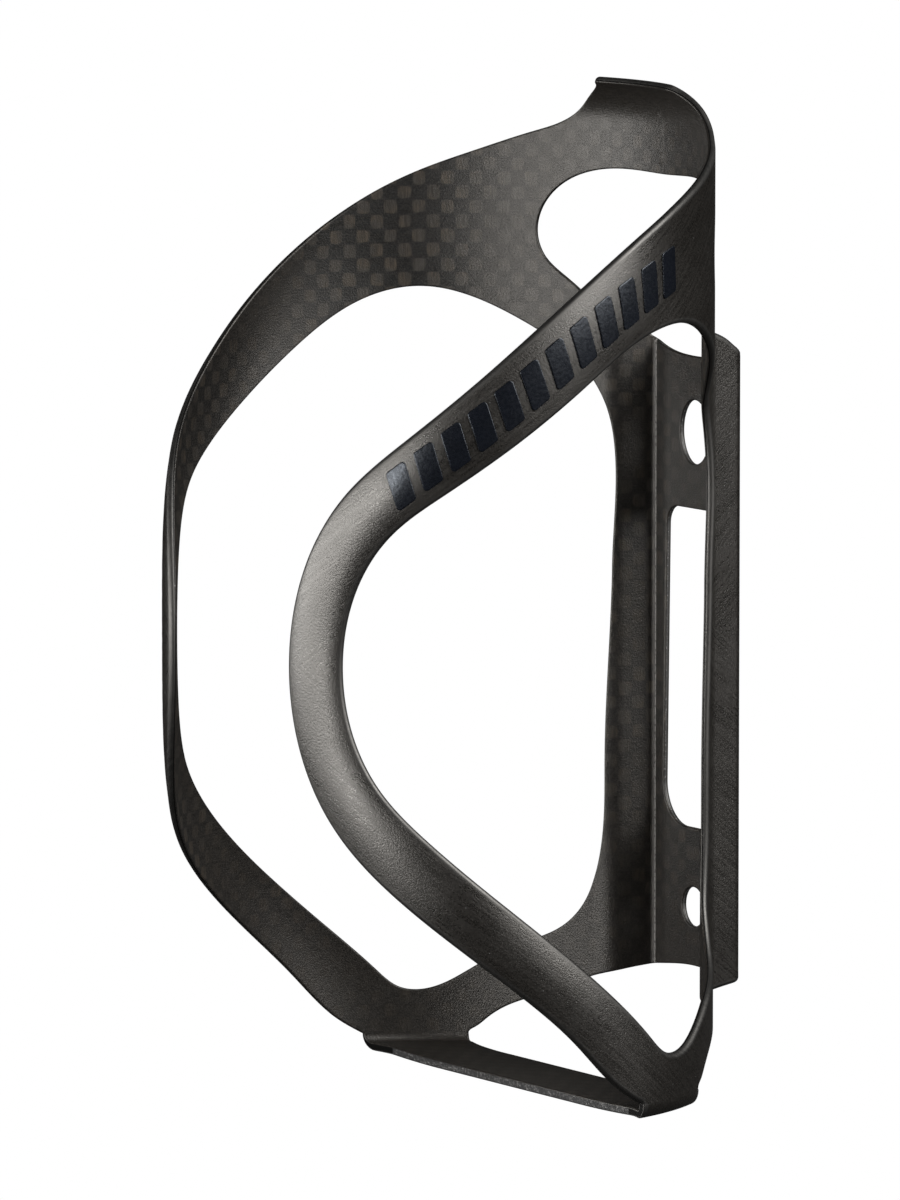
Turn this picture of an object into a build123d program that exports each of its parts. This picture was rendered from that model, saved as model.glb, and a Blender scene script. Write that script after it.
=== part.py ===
"""Side-loading style water bottle cage, moulded in carbon laminate, as its laid-up pieces.

Lengths are millimetres. +Z runs up the bottle's axis, +Y points at the bicycle frame
tube, and the bottle is pushed in along -Z. The origin is on the bottle's axis, at the
height of the seat that the bottle's bottom rests on.

The cage hugs a cylinder round the bottle. Points on it are given by an angle, measured
from +Y (the spine side) round to -Y (the open front), and by a height z.
"""

from build123d import *
import os
from math import cos, radians, sin

# Driving dimensions
BORE_R = 35.4            # inside of the unloaded cage; a 73 mm bottle springs the arms out
WALL = 1.0               # whole laminate
PLY = 0.3                # woven facing ply on the bottle side
RESIN = 0.03             # resin line between the facing ply and the outer laminate
OUTER_R = BORE_R + WALL
PLY_R = BORE_R + PLY     # outside of the facing ply
SKIN_R = PLY_R + RESIN   # inside of the outer laminate

# Spine: a shallow channel that stands behind the cylinder and bolts to the frame
PLATE_BACK_Y = 41.3      # mounting face
PLATE_FRONT_Y = PLATE_BACK_Y - WALL
PLATE_HALF = 9.0         # flat part, up to the channel's corner bends
CORNER_X = 10.1          # middle of the laminate where plate and side wall would meet
PLATE_TOP_Z = 94.9
PLATE_TOP_RISE = 1.4     # the top edge dips in the middle by this much
PLATE_BOTTOM_Z = 12.7
PLATE_BOTTOM_DROP = 0.8
CORNER_BEND_R = 1.2
FLARE_BEND_R = 4.0       # where a side wall turns out onto the cylinder
SPINE_EDGE_ANGLE = 30    # side walls reach this far round, then the gussets start

# Bolting: M5 bosses at the usual spacing, a round hole below and an oval above
BOLT_SPACING = 64.0
LOWER_BOLT_Z = 20.7
UPPER_BOLT_Z = LOWER_BOLT_Z + BOLT_SPACING
BOLT_HOLE_R = 2.65
OVAL_WIDTH = 6.9
OVAL_HEIGHT = 8.6

# Lightening slot between the bolts
SLOT_TOP_Z = 74.4
SLOT_BOTTOM_Z = 31.4
SLOT_TOP_HALF = 6.6
SLOT_BOTTOM_HALF = 7.4
SLOT_TOP_CORNER_R = 2.6
SLOT_BOTTOM_CORNER_R = 5.5

# Upper window, between the rear bridge and the spine
WINDOW_TOP_Z = 119.4
WINDOW_TIP = (36.0, 110.0)         # angle, z of its outermost point
WINDOW_TOP = [(11.5, 119.2), (18.5, 116.6)]
WINDOW_LOW = [(18.4, 105.2), (12.4, 100.1)]
WINDOW_LOW_END = (-0.8, -1)        # direction of the lower edge as it meets the spine plate

# Rear bridge and the tab that catches the groove in the bottle
BRIDGE_TOP_Z = 125.6
TAB_BEND_R = 6.5                   # the lip curls in over the bottle on this radius, mid wall
TAB_BEND_ANGLE = 73                # as far as this from upright
TAB_TOP_Z = BRIDGE_TOP_Z + (TAB_BEND_R + WALL / 2) * sin(radians(TAB_BEND_ANGLE))
TAB_HALF_WIDTH = 8.5               # along its top edge
TAB_SIDE = [(12.6, 129.0), (15.2, 127.3)]
TAB_SIDE_START = (0.35, -1)        # direction of the side edge at the top corner
TAB_SIDE_END = (1, -0.15)

# Side wall outline in front view, as (x, z)
WALL_TOP = [(9.0, 96.3), (10.4, 97.5), (12.2, 100.0), (15.7, 103.1)]
WALL_TOP_END_Z = 105.1
UPPER_CROTCH_Z = 95.2
UPPER_CROTCH = [(14.2, 91.6), (11.9, 84.0)]
UPPER_CROTCH_START = (-1, -0.4)    # direction of the edge as it leaves the gusset
LOWER_CROTCH = [(12.1, 29.0), (14.2, 19.6)]
LOWER_CROTCH_START = (0.05, -1)
LOWER_CROTCH_END = (1, -0.3)
LOWER_CROTCH_Z = 16.6
WALL_BOTTOM = [(14.0, 10.1), (9.0, 11.9)]
WALL_BOTTOM_END_Z = 8.2
WALL_ROOT_ANGLE = 18.6             # where the wall would meet the cylinder

# Gusset outlines, as (angle, z), each from the spine side to the arm
UPPER_GUSSET_TOP = [(30.0, 125.6), (37.0, 124.1), (50.0, 121.4), (62.0, 118.7), (74.0, 115.1)]
UPPER_GUSSET_LOW = [(30.0, 95.2), (40.0, 98.7), (50.0, 101.5), (61.0, 103.0), (74.0, 101.3)]
LOWER_GUSSET_TOP = [(30.0, 16.6), (42.0, 13.3), (52.0, 9.8), (61.0, 7.4), (68.0, 8.0), (74.0, 11.0)]
LOWER_GUSSET_LOW = [(50.6, 0.6), (47.0, 3.6), (39.5, 6.3), (30.0, 8.2)]
LOWER_GUSSET_LOW_START = (-0.3, 1)
LOWER_GUSSET_LOW_END = (-1, 0.2)
LOWER_GUSSET_TOE_Z = 0.9           # height of the skirt's corner where the arm begins
GUSSET_FACING = 52.0               # gusset outlines are drawn square on to this angle

# Arms: middle line of each strip, as (angle, z, strip width, crown height across it)
ARM_STATIONS = [
    (62.0, 111.0, 14.8, 0.05),
    (71.0, 108.9, 13.0, 0.06),
    (80.0, 106.2, 11.5, 0.12),
    (95.0, 99.9, 10.5, 0.25),
    (110.0, 92.7, 9.7, 0.35),
    (125.0, 85.8, 8.7, 0.50),
    (136.3, 80.0, 8.1, 0.70),
    (144.5, 72.4, 7.9, 0.90),
    (148.8, 60.7, 7.9, 0.95),
    (146.3, 49.8, 8.0, 0.90),
    (139.3, 41.4, 8.2, 0.70),
    (129.5, 34.9, 8.4, 0.50),
    (115.0, 27.3, 8.2, 0.35),
    (100.0, 19.9, 8.0, 0.25),
    (87.0, 13.1, 8.3, 0.15),
    (76.0, 6.9, 8.6, 0.06),
    (66.0, 1.6, 9.0, 0.05),
]
ARM_ROOT_ANGLE = 74.0              # the arm strips meet the gussets here

# Seat: a strip across the bottom, bent in from the two lower gussets
SEAT_THICKNESS = 1.2
SEAT_FRONT_Y = 11.1
SEAT_BACK_Y = 22.1
SEAT_FRONT_ANGLE = 72.0
SEAT_BACK_ANGLE = 52.6
SEAT_FLAT_HALF = 18.0              # the middle is flat, then the strip rises to its ends
SEAT_END_RISE = 0.6

# Raised gloss bars on the outside of each upper arm, spread along its middle line
BAR_COUNT = 12
BAR_FIRST_T = 0.02
BAR_LAST_T = 0.318
BAR_LONG = 3.0                     # along the arm
BAR_SLANT = 1.8                    # its upper end lies this much further along
BAR_HIGH_FIRST = 5.8               # across the arm
BAR_HIGH_LAST = 4.8
BAR_THICK = 0.15
BAR_GAP = 0.02                     # adhesive line under a bar

# Cutting bodies
TALL = 200.0                       # taller than the cage
DEEP = 60.0                        # deeper than the bore's radius
MARGIN = 0.5                       # cutting outlines run past a piece's end by this much

# Directions for the ends of a curve, as seen in its own sketch
OUT = (1, 0)
UP = (0, 1)
DOWN = (0, -1)


def on_cylinder(angle, z, radius=OUTER_R):
    """Point on the right-hand side of the bottle cylinder."""
    return Vector(radius * sin(radians(angle)), radius * cos(radians(angle)), z)


def radial_plane(angle):
    """Upright plane through the bottle's axis, facing towards larger angles."""
    a = radians(angle)
    return Plane(origin=(0, 0, 0), x_dir=(sin(a), cos(a), 0), z_dir=(cos(a), -sin(a), 0))


def facing_plane(angle):
    """Upright plane through the axis that sees the wall at an angle square on from inside.

    Its x runs towards larger angles, and its y is z. Outwards is its negative side.
    """
    a = radians(angle)
    return Plane(origin=(0, 0, 0), x_dir=(cos(a), -sin(a), 0), z_dir=(-sin(a), -cos(a), 0))


def flat(angle, z, facing):
    """A point of the cylinder, seen square on from the facing angle."""
    return (OUTER_R * sin(radians(angle - facing)), z)


def band(inner_r, outer_r, low_z, high_z, first_angle, last_angle):
    """Part of a tube round the bottle, from one angle to another."""
    sweep_angle = last_angle - first_angle
    with BuildPart() as tube:
        with BuildSketch(radial_plane(first_angle)):
            with Locations(((inner_r + outer_r) / 2, (low_z + high_z) / 2)):
                Rectangle(outer_r - inner_r, high_z - low_z)
        revolve(axis=Axis.Z, revolution_arc=-sweep_angle)
    return tube.part


def write(part, label):
    part.label = label
    export_step(part, f"parts/{label}.step")


def write_pair(part, name):
    """Writes the right-hand piece, and its mirror image as the left-hand one."""
    write(part, f"right_{name}")
    with BuildPart() as left:
        mirror(part, about=Plane.YZ)
    write(left.part, f"left_{name}")


# ---------------------------------------------------------------- spine plate

def spine_outline():
    """Front outline of the flat plate, with its bolt holes and lightening slot."""
    side_top_z = PLATE_TOP_Z + PLATE_TOP_RISE
    side_low_z = PLATE_BOTTOM_Z - PLATE_BOTTOM_DROP
    with BuildSketch(Plane.XZ) as outline:
        with BuildLine():
            top = ThreePointArc((-PLATE_HALF, side_top_z), (0, PLATE_TOP_Z), (PLATE_HALF, side_top_z))
            low = ThreePointArc((-PLATE_HALF, side_low_z), (0, PLATE_BOTTOM_Z), (PLATE_HALF, side_low_z))
            Line(top @ 0, low @ 0)
            Line(top @ 1, low @ 1)
        make_face()
        with Locations((0, LOWER_BOLT_Z)):
            Circle(BOLT_HOLE_R, mode=Mode.SUBTRACT)
        with Locations((0, UPPER_BOLT_Z)):
            Ellipse(OVAL_WIDTH / 2, OVAL_HEIGHT / 2, mode=Mode.SUBTRACT)
        add(lightening_slot(), mode=Mode.SUBTRACT)
    return outline.sketch


def lightening_slot():
    """The opening between the bolts, a little wider below, with larger corners there."""
    with BuildSketch(Plane.XZ) as slot:
        with BuildLine():
            Polyline(
                (-SLOT_BOTTOM_HALF, SLOT_BOTTOM_Z),
                (SLOT_BOTTOM_HALF, SLOT_BOTTOM_Z),
                (SLOT_TOP_HALF, SLOT_TOP_Z),
                (-SLOT_TOP_HALF, SLOT_TOP_Z),
                close=True,
            )
        make_face()
        fillet(slot.vertices().group_by(Axis.Z)[-1], SLOT_TOP_CORNER_R)
        fillet(slot.vertices().group_by(Axis.Z)[0], SLOT_BOTTOM_CORNER_R)
    return slot.sketch


with BuildPart() as spine_plate:
    with BuildSketch(Plane.XZ.offset(-PLATE_BACK_Y)):
        add(spine_outline())
    extrude(amount=WALL - PLY - RESIN)

with BuildPart() as spine_ply:
    with BuildSketch(Plane.XZ.offset(-PLATE_FRONT_Y - PLY)):
        add(spine_outline())
    extrude(amount=PLY)


# ---------------------------------------------------------------- side walls

def wall_section():
    """Plan view of a side wall: plate corner, flared wall, bend out onto the cylinder."""
    middle_r = OUTER_R - WALL / 2
    middle_y = PLATE_BACK_Y - WALL / 2
    root = on_cylinder(WALL_ROOT_ANGLE, 0, middle_r)
    edge = on_cylinder(SPINE_EDGE_ANGLE, 0, middle_r)
    with BuildSketch() as section:
        with BuildLine() as line:
            Line((PLATE_HALF, middle_y), (CORNER_X, middle_y))
            Line((CORNER_X, middle_y), root)
            RadiusArc(root, edge, middle_r)
            corner = line.vertices().sort_by_distance((CORNER_X, middle_y))[0]
            fillet(corner, CORNER_BEND_R)
            bend = line.vertices().sort_by_distance(root)[0]
            fillet(bend, FLARE_BEND_R)
        trace(line_width=WALL)
    return section.sketch


def wall_outline():
    """Front view of a side wall: top edge, free edge, and the roots of its two branches."""
    edge_x = on_cylinder(SPINE_EDGE_ANGLE, 0).X + MARGIN
    with BuildSketch(Plane.XZ) as outline:
        with BuildLine():
            top = Spline(*WALL_TOP, (edge_x, WALL_TOP_END_Z))
            upper = Spline((edge_x, UPPER_CROTCH_Z), *UPPER_CROTCH, tangents=(UPPER_CROTCH_START, DOWN))
            lower = Spline(
                *LOWER_CROTCH,
                (edge_x, LOWER_CROTCH_Z),
                tangents=(LOWER_CROTCH_START, LOWER_CROTCH_END),
            )
            bottom = Spline((edge_x, WALL_BOTTOM_END_Z), *WALL_BOTTOM)
            Line(top @ 1, upper @ 0)
            Line(upper @ 1, lower @ 0)
            Line(lower @ 1, bottom @ 0)
            Line(bottom @ 1, top @ 0)
        make_face()
    return outline.sketch


with BuildPart() as side_wall:
    with BuildSketch():
        add(wall_section())
    extrude(amount=TALL)
    with BuildSketch(Plane.XZ):
        add(wall_outline())
    extrude(amount=-DEEP, mode=Mode.INTERSECT)
    split(bisect_by=radial_plane(SPINE_EDGE_ANGLE), keep=Keep.BOTTOM)


# ---------------------------------------------------------------- rear bridge and tab

def upper_window():
    """The window over the spine, in front view, out to its tips on the gussets."""
    tip = flat(*WINDOW_TIP, 0)
    with BuildSketch(Plane.XZ) as window:
        with BuildLine():
            top = Spline((0, WINDOW_TOP_Z), *WINDOW_TOP, tip, tangents=(OUT, DOWN))
            low = Spline(tip, *WINDOW_LOW, tangents=(DOWN, WINDOW_LOW_END))
            Polyline(low @ 1, (0, PLATE_TOP_Z), (0, WINDOW_TOP_Z))
        make_face()
        mirror(about=Plane.YZ)
    return window.sketch


def cut_window(shell):
    """A layer of laminate with the upper window cut through it."""
    with BuildPart() as layer:
        add(shell)
        with BuildSketch(Plane.XZ):
            add(upper_window())
        extrude(amount=-DEEP, mode=Mode.SUBTRACT)
    return layer.part


def bridge(inner_r, outer_r):
    """One layer of the band across the back, over the window."""
    window_z = WINDOW_TIP[1]
    shell = band(inner_r, outer_r, window_z, BRIDGE_TOP_Z, -SPINE_EDGE_ANGLE, SPINE_EDGE_ANGLE)
    return cut_window(shell)


def tab_outline():
    """Front view of the tab: straight top edge, and sides that flare out to the bridge."""
    root_x = on_cylinder(SPINE_EDGE_ANGLE, 0).X
    with BuildSketch(Plane.XZ) as outline:
        with BuildLine():
            side = Spline(
                (TAB_HALF_WIDTH, TAB_TOP_Z),
                *TAB_SIDE,
                (root_x, BRIDGE_TOP_Z),
                tangents=(TAB_SIDE_START, TAB_SIDE_END),
            )
            Polyline(
                side @ 1,
                (0, BRIDGE_TOP_Z),
                (0, TAB_TOP_Z + MARGIN),
                (TAB_HALF_WIDTH, TAB_TOP_Z + MARGIN),
                side @ 0,
            )
        make_face()
        mirror(about=Plane.YZ)
    return outline.sketch


def lip_arc(start_r, bend_r):
    """Arc in a radial plane from upright at the bridge to the lip's edge."""
    angle = radians(TAB_BEND_ANGLE)
    end = (start_r - bend_r * (1 - cos(angle)), BRIDGE_TOP_Z + bend_r * sin(angle))
    return TangentArc((start_r, BRIDGE_TOP_Z), end, tangent=UP)


def retention_tab():
    """A lip that leaves the bridge upright and curls in over the bottle."""
    with BuildPart() as tab:
        with BuildSketch(radial_plane(-SPINE_EDGE_ANGLE)):
            with BuildLine():
                inner = lip_arc(BORE_R, TAB_BEND_R - WALL / 2)
                outer = lip_arc(OUTER_R, TAB_BEND_R + WALL / 2)
                Line(inner @ 0, outer @ 0)
                Line(inner @ 1, outer @ 1)
            make_face()
        revolve(axis=Axis.Z, revolution_arc=-2 * SPINE_EDGE_ANGLE)
        with BuildSketch(Plane.XZ):
            add(tab_outline())
        extrude(amount=-DEEP, mode=Mode.INTERSECT)
    return tab.part


# ---------------------------------------------------------------- gussets

def facing_points(points):
    """Points of a gusset outline, seen square on."""
    return [flat(angle, z, GUSSET_FACING) for angle, z in points]


def upper_gusset_outline():
    """The fork of the upper arm: bridge above, spine branch below, arm to the front."""
    with BuildSketch(facing_plane(GUSSET_FACING)) as outline:
        with BuildLine():
            top = Spline(*facing_points(UPPER_GUSSET_TOP))
            low = Spline(*facing_points(UPPER_GUSSET_LOW))
            Line(top @ 0, low @ 0)
            Line(top @ 1, low @ 1)
        make_face()
    return outline.sketch


def lower_gusset_outline():
    """The root of the lower arm, with the upright skirt that the seat is bent in from."""
    seat_low_z = SEAT_END_RISE - SEAT_THICKNESS
    with BuildSketch(facing_plane(GUSSET_FACING)) as outline:
        with BuildLine():
            top = Spline(*facing_points(LOWER_GUSSET_TOP))
            low = Spline(
                *facing_points(LOWER_GUSSET_LOW),
                tangents=(LOWER_GUSSET_LOW_START, LOWER_GUSSET_LOW_END),
            )
            skirt = Polyline(*facing_points([
                (ARM_ROOT_ANGLE, LOWER_GUSSET_TOE_Z),
                (SEAT_FRONT_ANGLE, seat_low_z),
                (SEAT_BACK_ANGLE, seat_low_z),
                LOWER_GUSSET_LOW[0],
            ]))
            Line(top @ 1, skirt @ 0)
            Line(low @ 1, top @ 0)
        make_face()
    return outline.sketch


def gusset(outline, inner_r, outer_r):
    """One layer of a gusset: a stretch of the cylinder cut to its outline."""
    shell = band(inner_r, outer_r, -MARGIN - SEAT_THICKNESS, BRIDGE_TOP_Z, SPINE_EDGE_ANGLE, ARM_ROOT_ANGLE)
    with BuildPart() as piece:
        add(shell)
        with BuildSketch(facing_plane(GUSSET_FACING)):
            add(outline)
        extrude(amount=-DEEP, mode=Mode.INTERSECT)
    return piece.part


# ---------------------------------------------------------------- arms

def arm_path():
    """Middle line of an arm, on the outside of the cylinder."""
    with BuildLine() as line:
        Spline(*[on_cylinder(angle, z) for angle, z, width, crown in ARM_STATIONS])
    return line.edge()


ARM_PATH = arm_path()
STATION_T = [ARM_PATH.param_at_point(on_cylinder(angle, z)) for angle, z, width, crown in ARM_STATIONS]


def arm_plane(t):
    """Cross-section plane at a place along the arm: x across the strip, y outwards."""
    origin = ARM_PATH @ t
    along = ARM_PATH % t
    outwards = Vector(origin.X, origin.Y, 0)
    return Plane(origin=origin, x_dir=outwards.cross(along), z_dir=along)


def arm_layer(low, high):
    """One layer of an arm strip, between two heights above its middle line."""
    with BuildPart() as layer:
        for t, (angle, z, width, crown) in zip(STATION_T, ARM_STATIONS):
            half = width / 2
            with BuildSketch(arm_plane(t)):
                with BuildLine():
                    outer = ThreePointArc((-half, high - crown), (0, high), (half, high - crown))
                    inner = ThreePointArc((-half, low - crown), (0, low), (half, low - crown))
                    Line(outer @ 0, inner @ 0)
                    Line(outer @ 1, inner @ 1)
                make_face()
        loft()
        split(bisect_by=radial_plane(ARM_ROOT_ANGLE), keep=Keep.TOP)
    return layer.part


# ---------------------------------------------------------------- seat

def bottle_seat():
    """The strip the bottle stands on, bent in from both gussets: flat, then rising to its ends."""
    end_x = BORE_R
    with BuildPart() as seat:
        with BuildSketch(Plane.XZ.offset(-SEAT_BACK_Y)):
            with BuildLine():
                for z in (0, -SEAT_THICKNESS):
                    flat_line = Line((0, z), (SEAT_FLAT_HALF, z))
                    TangentArc(flat_line @ 1, (end_x, z + SEAT_END_RISE), tangent=OUT)
                Line((0, 0), (0, -SEAT_THICKNESS))
                Line((end_x, SEAT_END_RISE), (end_x, SEAT_END_RISE - SEAT_THICKNESS))
            make_face()
            mirror(about=Plane.YZ)
        extrude(amount=SEAT_BACK_Y - SEAT_FRONT_Y)
        with BuildSketch(Plane.XY.offset(-DEEP)):
            Circle(BORE_R)
        extrude(amount=2 * DEEP, mode=Mode.INTERSECT)
    return seat.part


# ---------------------------------------------------------------- raised bars

def gloss_bars():
    """A row of slanted bars bonded on the outside of an upper arm, as separate solids."""
    with BuildPart() as bars:
        for index in range(BAR_COUNT):
            share = index / (BAR_COUNT - 1)
            t = BAR_FIRST_T + share * (BAR_LAST_T - BAR_FIRST_T)
            half_high = (BAR_HIGH_FIRST + share * (BAR_HIGH_LAST - BAR_HIGH_FIRST)) / 2
            near = (BAR_LONG - BAR_SLANT) / 2
            far = (BAR_LONG + BAR_SLANT) / 2
            on_arm = arm_plane(t)
            surface = Plane(on_arm.origin, x_dir=on_arm.z_dir, z_dir=on_arm.y_dir)
            with BuildSketch(surface.offset(BAR_GAP)):
                with BuildLine():
                    Polyline(
                        (-far, half_high),
                        (near, half_high),
                        (far, -half_high),
                        (-near, -half_high),
                        close=True,
                    )
                make_face()
            extrude(amount=BAR_THICK)
    return bars.part


os.makedirs("parts", exist_ok=True)
write(spine_plate.part, "spine_plate")
write(spine_ply.part, "spine_plate_inner_ply")
write_pair(side_wall.part, "side_wall")
write(bridge(SKIN_R, OUTER_R), "rear_bridge")
write(bridge(BORE_R, PLY_R), "rear_bridge_inner_ply")
write(retention_tab(), "retention_tab")
for layer_name, inner_r, outer_r in (("", SKIN_R, OUTER_R), ("_inner_ply", BORE_R, PLY_R)):
    write_pair(cut_window(gusset(upper_gusset_outline(), inner_r, outer_r)), "upper_gusset" + layer_name)
    write_pair(gusset(lower_gusset_outline(), inner_r, outer_r), "lower_gusset" + layer_name)
    write_pair(arm_layer(inner_r - OUTER_R, outer_r - OUTER_R), "arm" + layer_name)
write(bottle_seat(), "bottle_seat")
write_pair(gloss_bars(), "gloss_bars")
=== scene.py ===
"""Looks of a carbon laminate bottle cage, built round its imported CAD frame.

The cage is one thin sheet that wraps a cylinder, with a channel at its back. So its outlines
are drawn here on the unrolled sheet: s runs round the cage in millimetres from the middle of
the spine, z is the height. The sheet is meshed flat, cut into zones, and each zone is rolled
up and thickened into its own closed piece, with rounded cut edges.

Sizes are millimetres, as in the CAD, and MM turns the finished points into metres.
"""

import math

import bpy
import numpy as np
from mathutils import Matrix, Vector
from mathutils.geometry import delaunay_2d_cdt


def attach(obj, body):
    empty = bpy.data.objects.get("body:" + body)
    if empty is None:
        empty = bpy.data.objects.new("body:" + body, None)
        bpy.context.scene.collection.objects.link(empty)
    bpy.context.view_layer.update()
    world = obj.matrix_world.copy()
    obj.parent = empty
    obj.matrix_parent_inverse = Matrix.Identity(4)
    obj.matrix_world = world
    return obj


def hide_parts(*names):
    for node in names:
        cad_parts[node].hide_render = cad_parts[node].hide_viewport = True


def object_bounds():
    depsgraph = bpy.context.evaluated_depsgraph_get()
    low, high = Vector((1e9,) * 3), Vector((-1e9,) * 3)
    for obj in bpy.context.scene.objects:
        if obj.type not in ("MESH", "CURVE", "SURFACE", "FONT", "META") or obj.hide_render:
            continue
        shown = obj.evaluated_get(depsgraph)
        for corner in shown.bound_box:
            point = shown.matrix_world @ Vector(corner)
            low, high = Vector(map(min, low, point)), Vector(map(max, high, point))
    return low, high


MM = 0.001
MIRROR = np.array([-1.0, 1.0, 1.0])
FAR_FROM_EDGE = 9.0
FLAT_SHADED = (0.0, 0.0, 0.0)  # a corner normal that leaves the face flat

# Laminate, as distances from its middle surface
MID_R = 35.9
OUTSIDE = 0.5
INSIDE = -0.5
PLY_LINE = -0.2     # where the facing ply meets the outer laminate
OUTER_ROUND = 0.62  # radius on the outer and inner corners of a cut edge
INNER_ROUND = 0.22

# Spine channel in plan
PLATE_Y = 40.8
PLATE_EDGE_S = 9.0
CORNER_X = 10.1
WALL_ROOT_ANGLE = math.radians(18.6)
CORNER_BEND_R = 1.2
FLARE_BEND_R = 4.0

# Spine plate
PLATE_TOP_Z = 94.9
PLATE_BOTTOM_Z = 12.7
LOWER_BOLT_Z = 20.7
UPPER_BOLT_Z = 84.7
BOLT_HOLE_R = 2.65
OVAL_HALF_WIDTH = 3.45
OVAL_HALF_HEIGHT = 4.3
SLOT_TOP = (6.6, 74.4, 2.6)  # half width, z, corner radius
SLOT_BOTTOM = (7.4, 31.4, 5.5)

# Rear bridge and tab
BRIDGE_TOP_Z = 125.6
TAB_BEND_R = 6.5        # the lip curls in on this radius, mid laminate
TAB_CURL = math.radians(73.0)
TAB_TOP_Z = BRIDGE_TOP_Z + TAB_BEND_R * TAB_CURL  # along the curled sheet
TAB_CORNER_R = 1.3
TAB_CORNER_ANGLE = 16.4
CHANNEL_TOP_Z = 108.0   # above this the sheet stays on the cylinder at the back

# Arms: middle line of each strip, as (angle, z, strip width, crown height across it)
ARM_STATIONS = [
    (62.0, 111.0, 14.8, 0.0),
    (71.0, 108.9, 13.0, 0.22),
    (80.0, 106.2, 11.5, 0.38),
    (95.0, 99.9, 10.5, 0.42),
    (110.0, 92.7, 9.7, 0.46),
    (125.0, 85.8, 8.7, 0.50),
    (136.3, 80.0, 8.1, 0.70),
    (144.5, 72.4, 7.9, 0.90),
    (148.8, 60.7, 7.9, 0.95),
    (146.3, 49.8, 8.0, 0.90),
    (139.3, 41.4, 8.2, 0.70),
    (129.5, 34.9, 8.4, 0.50),
    (115.0, 27.3, 8.2, 0.46),
    (100.0, 19.9, 8.0, 0.44),
    (87.0, 13.1, 8.3, 0.40),
    (76.0, 6.9, 8.6, 0.24),
    (66.0, 1.6, 9.0, 0.0),
]
FIRST_ARM = 2        # the arm pieces run between these two stations
LAST_ARM = 15
CROWN_FADE = 9.0     # of s, over which the crown grows from the gussets
BORDER_ANGLE = 30.0  # the gussets run from here to the arms

# Seat strip
FOLD_Z = 1.4           # the skirts of the lower gussets bend inwards below this
FOLD_R = 1.6
SEAT_MID_Z = -0.6
SEAT_HALF_THICK = 0.6
PATTERN_SHIFT = 60.0   # keeps the seat's pattern clear of the sheet's own
SEAT_FLAT_HALF = 18.0
SEAT_FRONT_Y = 11.1
SEAT_BACK_Y = 22.1
SEAT_SETTLE = 6.0      # from a fold, the strip takes this long to reach its own width
SEAT_THIN_SHARE = 1.4  # of v, over which its thickness grows from the skirts' own
SEALED_FROM = 0.88     # of v, beyond which its edges are sealed like the skirts'
FOLD_FRONT_ANGLE = 74.4
FOLD_BACK_ANGLE = 51.4

# Mesh sizes
EDGE_STEP = 0.35
GRID_STEP = 1.0
BEND_STEP = 0.27  # columns of points follow the spine's two tight bends
# Distances of the rows of points in from a cut edge
EDGE_ROWS = (0.0, 0.02, 0.08, 0.20, 0.38, 0.60, 0.85)


# ---------------------------------------------------------------- the rolled sheet

def facing(angle):
    """Plan direction at an angle from the spine, in radians."""
    return np.array([math.sin(angle), math.cos(angle)])


def channel_stretches():
    """Plan view of the channel's middle line: (start s, heading, curvature, x, y) of each stretch.

    A heading of 0 runs along +X, and it grows clockwise, so on the cylinder it is the angle.
    """
    corner = np.array([CORNER_X, PLATE_Y])
    root = MID_R * facing(WALL_ROOT_ANGLE)
    heading = math.atan2(corner[1] - root[1], root[0] - corner[0])
    along = np.array([math.cos(heading), -math.sin(heading)])
    outwards = facing(heading)
    tangent = CORNER_BEND_R * math.tan(heading / 2)
    reach = (corner @ outwards + FLARE_BEND_R) / (MID_R + FLARE_BEND_R)
    join_angle = heading - math.acos(reach)
    flare_centre = (MID_R + FLARE_BEND_R) * facing(join_angle)
    wall_end = flare_centre - FLARE_BEND_R * outwards
    wall_length = (wall_end - corner) @ along - tangent
    lengths = (
        CORNER_X - tangent,
        CORNER_BEND_R * heading,
        wall_length,
        FLARE_BEND_R * (heading - join_angle),
    )
    nearly_flat = 1e-6
    curvatures = (nearly_flat, 1 / CORNER_BEND_R, nearly_flat, -1 / FLARE_BEND_R, 1 / MID_R)
    stretches = []
    s, turn, x, y = 0.0, 0.0, 0.0, PLATE_Y
    for length, curvature in zip((*lengths, 0.0), curvatures):
        stretches.append((s, turn, curvature, x, y))
        after = turn + curvature * length
        x += (math.sin(after) - math.sin(turn)) / curvature
        y += (math.cos(after) - math.cos(turn)) / curvature
        s += length
        turn = after
    return np.array(stretches)


CHANNEL = channel_stretches()
JOIN_S = CHANNEL[-1, 0]
JOIN_ANGLE = CHANNEL[-1, 1]
RING_S = JOIN_S - MID_R * JOIN_ANGLE  # s of the back middle, for the stretch above the window


def unit(vectors):
    """The same directions with length 1."""
    return np.array(vectors) / np.linalg.norm(vectors, axis=-1, keepdims=True)


def s_at(angle):
    """s of an angle round the cylinder, in degrees from the spine."""
    return RING_S + MID_R * math.radians(angle)


def plan(s, z):
    """x, y of the middle surface."""
    piece = np.clip(np.searchsorted(CHANNEL[:, 0], s, side="right") - 1, 0, len(CHANNEL) - 1)
    start, turn, curvature, x, y = CHANNEL[piece].T
    after = turn + curvature * (s - start)
    channel_x = x + (np.sin(after) - np.sin(turn)) / curvature
    channel_y = y + (np.cos(after) - np.cos(turn)) / curvature
    angle = (s - RING_S) / MID_R
    on_ring = z > CHANNEL_TOP_Z
    return (
        np.where(on_ring, MID_R * np.sin(angle), channel_x),
        np.where(on_ring, MID_R * np.cos(angle), channel_y),
        np.where(on_ring, angle, after),
    )


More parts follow.
